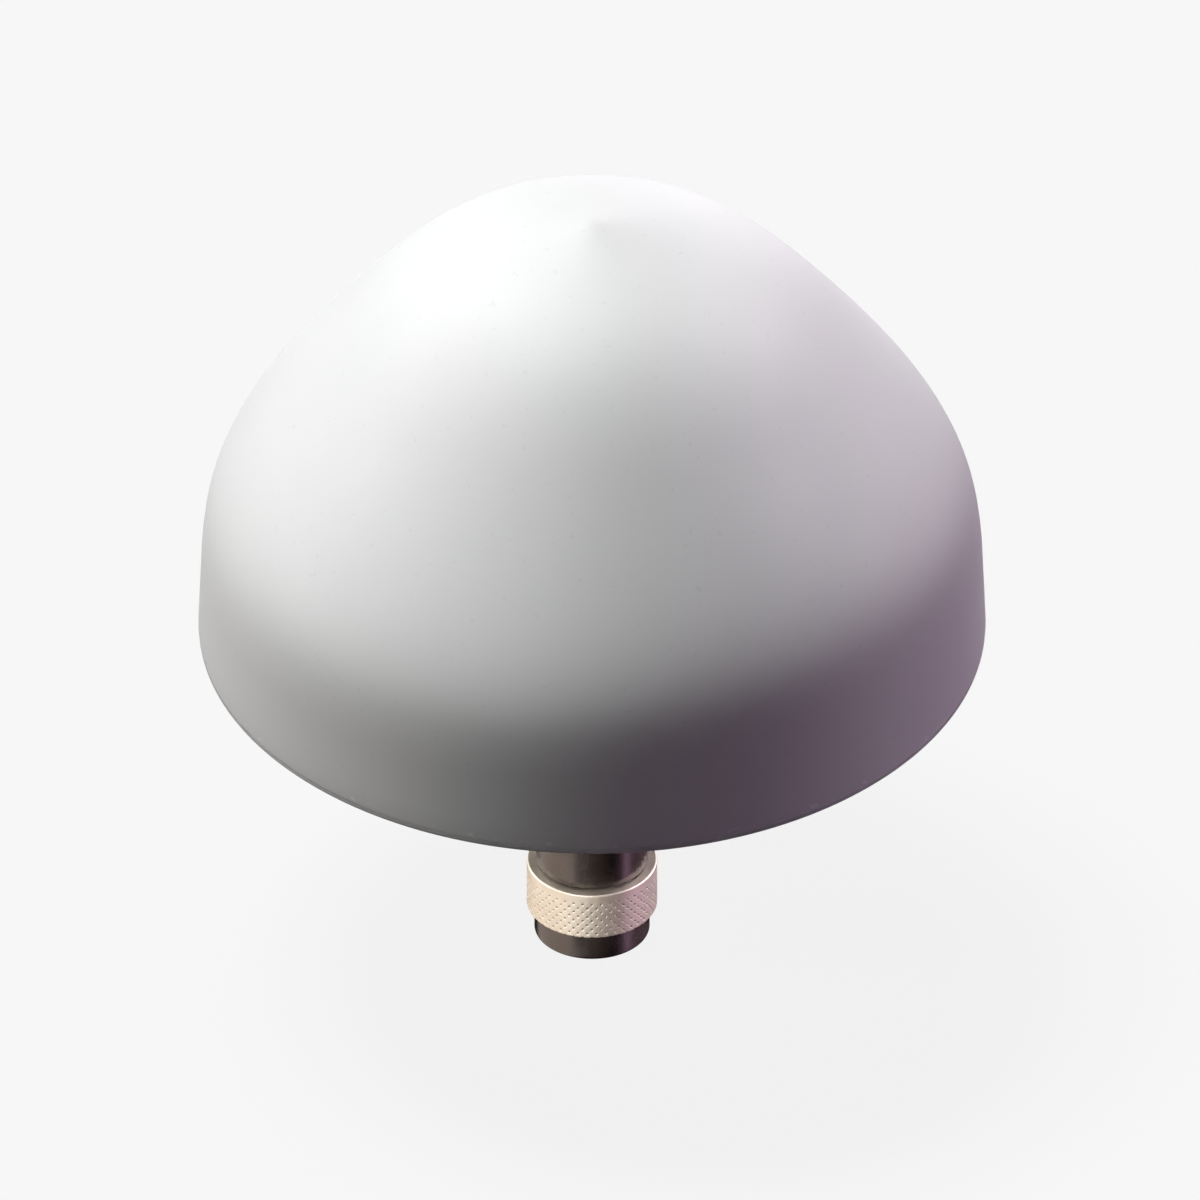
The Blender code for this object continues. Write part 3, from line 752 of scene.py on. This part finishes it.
def make_floor():
    """A pale floor that throws no light on the object and lets low lights through."""
    far = 6.0
    mesh = bpy.data.meshes.new("floor")
    corners = [(-far, -far, 0), (far, -far, 0), (far, far, 0), (-far, far, 0)]
    mesh.from_pydata(corners, [], [(0, 1, 2, 3)])
    floor = bpy.data.objects.new("floor", mesh)
    floor.location.z = -0.4 * MM
    floor.visible_diffuse = False
    floor.visible_glossy = False
    floor.visible_shadow = False
    bpy.context.scene.collection.objects.link(floor)
    made = Recipe("floor_paper", Specular_IOR_Level=0.0, Emission_Strength=0.87)
    made.shader.inputs["Emission Color"].default_value = WHITE
    paper = made.mix(made.noise(300.0, 3.0), (0.055, 0.055, 0.055), (0.06, 0.06, 0.06))
    mesh.materials.append(made.done(paper))


# Softboxes that only gloss sees: where they stand, how wide they are to their full strength
# and to their end (degrees from the middle), and their colour
SOFTBOXES = (
    (-120, 35, 0, 38, (4.6, 4.7, 4.5)),
    (-90, 35, 0, 38, (2.5, 2.5, 2.4)),
    (90, 35, 0, 38, (6.8, 6.3, 6.9)),
    (120, 35, 0, 38, (4.8, 4.4, 4.9)),
    (-22, 8, 5, 40, (4.2, 4.3, 4.2)),
    (-85, -22, 38, 52, (1.15, 1.00, 0.88)),
    (0, -10, 5, 50, (0.20, 0.15, 0.12)),
    (100, -25, 20, 50, (0.23, 0.15, 0.17)),
)


def softbox_glow(nodes, links):
    """The softboxes' light by the direction that a ray looks in, as a colour output."""
    look = nodes.new("ShaderNodeNewGeometry").outputs["Incoming"]
    glow = None
    for azimuth, elevation, full, end, colour in SOFTBOXES:
        facing = nodes.new("ShaderNodeVectorMath")
        facing.operation = "DOT_PRODUCT"
        facing.inputs[1].default_value = -direction(azimuth, elevation)
        links.new(look, facing.inputs[0])
        lobe = nodes.new("ShaderNodeMapRange")
        lobe.interpolation_type = "SMOOTHSTEP"
        lobe.inputs["From Min"].default_value = math.cos(math.radians(end))
        lobe.inputs["From Max"].default_value = math.cos(math.radians(full))
        links.new(facing.outputs["Value"], lobe.inputs["Value"])
        add = nodes.new("ShaderNodeVectorMath")
        add.operation = "MULTIPLY_ADD"
        add.inputs[1].default_value = colour
        add.inputs[2].default_value = (0.0, 0.0, 0.0)
        links.new(lobe.outputs["Result"], add.inputs[0])
        if glow:
            links.new(glow, add.inputs[2])
        glow = add.outputs["Vector"]
    return glow


def background(nodes, strength):
    shader = nodes.new("ShaderNodeBackground")
    shader.inputs["Color"].default_value = WHITE
    shader.inputs["Strength"].default_value = strength
    return shader


def make_world():
    """As pale as the floor to look at, faint on matt surfaces, softboxes in the gloss."""
    world = bpy.data.worlds.new("studio")
    bpy.context.scene.world = world
    world.use_nodes = True
    nodes, links = world.node_tree.nodes, world.node_tree.links
    nodes.clear()
    matt, gloss, seen = (background(nodes, strength) for strength in (0.018, 1.0, 0.93))
    links.new(softbox_glow(nodes, links), gloss.inputs["Color"])
    path = nodes.new("ShaderNodeLightPath")
    under = matt
    for ray, shader in (("Is Glossy Ray", gloss), ("Is Camera Ray", seen)):
        choose = nodes.new("ShaderNodeMixShader")
        links.new(path.outputs[ray], choose.inputs["Fac"])
        links.new(under.outputs[0], choose.inputs[1])
        links.new(shader.outputs[0], choose.inputs[2])
        under = choose
    links.new(under.outputs[0], nodes.new("ShaderNodeOutputWorld").inputs["Surface"])


def make_camera():
    """Isometric: level with the ground it looks 35.26 degrees down, with no perspective."""
    width_of_view = 243.6
    right, up = 1.62, 5.89  # of the base plate's centre, to the middle of the picture
    data = bpy.data.cameras.new("camera")
    data.type = "ORTHO"
    data.ortho_scale = width_of_view * MM
    back = direction(0, math.degrees(math.atan(math.sqrt(0.5))))
    turn = back.to_track_quat("Z", "Y")
    middle = Vector((0, 0, BASE_Z)) + turn @ Vector((right, up, 0))
    camera = bpy.data.objects.new("camera", data)
    camera.matrix_world = Matrix.Translation(middle * MM + back) @ turn.to_matrix().to_4x4()
    bpy.context.scene.collection.objects.link(camera)
    bpy.context.scene.camera = camera


for start_up in list(bpy.data.objects):
    if start_up.name in ("Cube", "Light", "Camera"):
        bpy.data.objects.remove(start_up)
dress_frame()
make_radome()
make_base()
make_neck()
for screw in range(1, 5):
    make_neck_screw(screw)
make_nut()
make_adapter()
make_port()
make_vent()
make_lights()
make_floor()
make_world()
make_camera()
bpy.context.scene.view_settings.view_transform = "Standard"
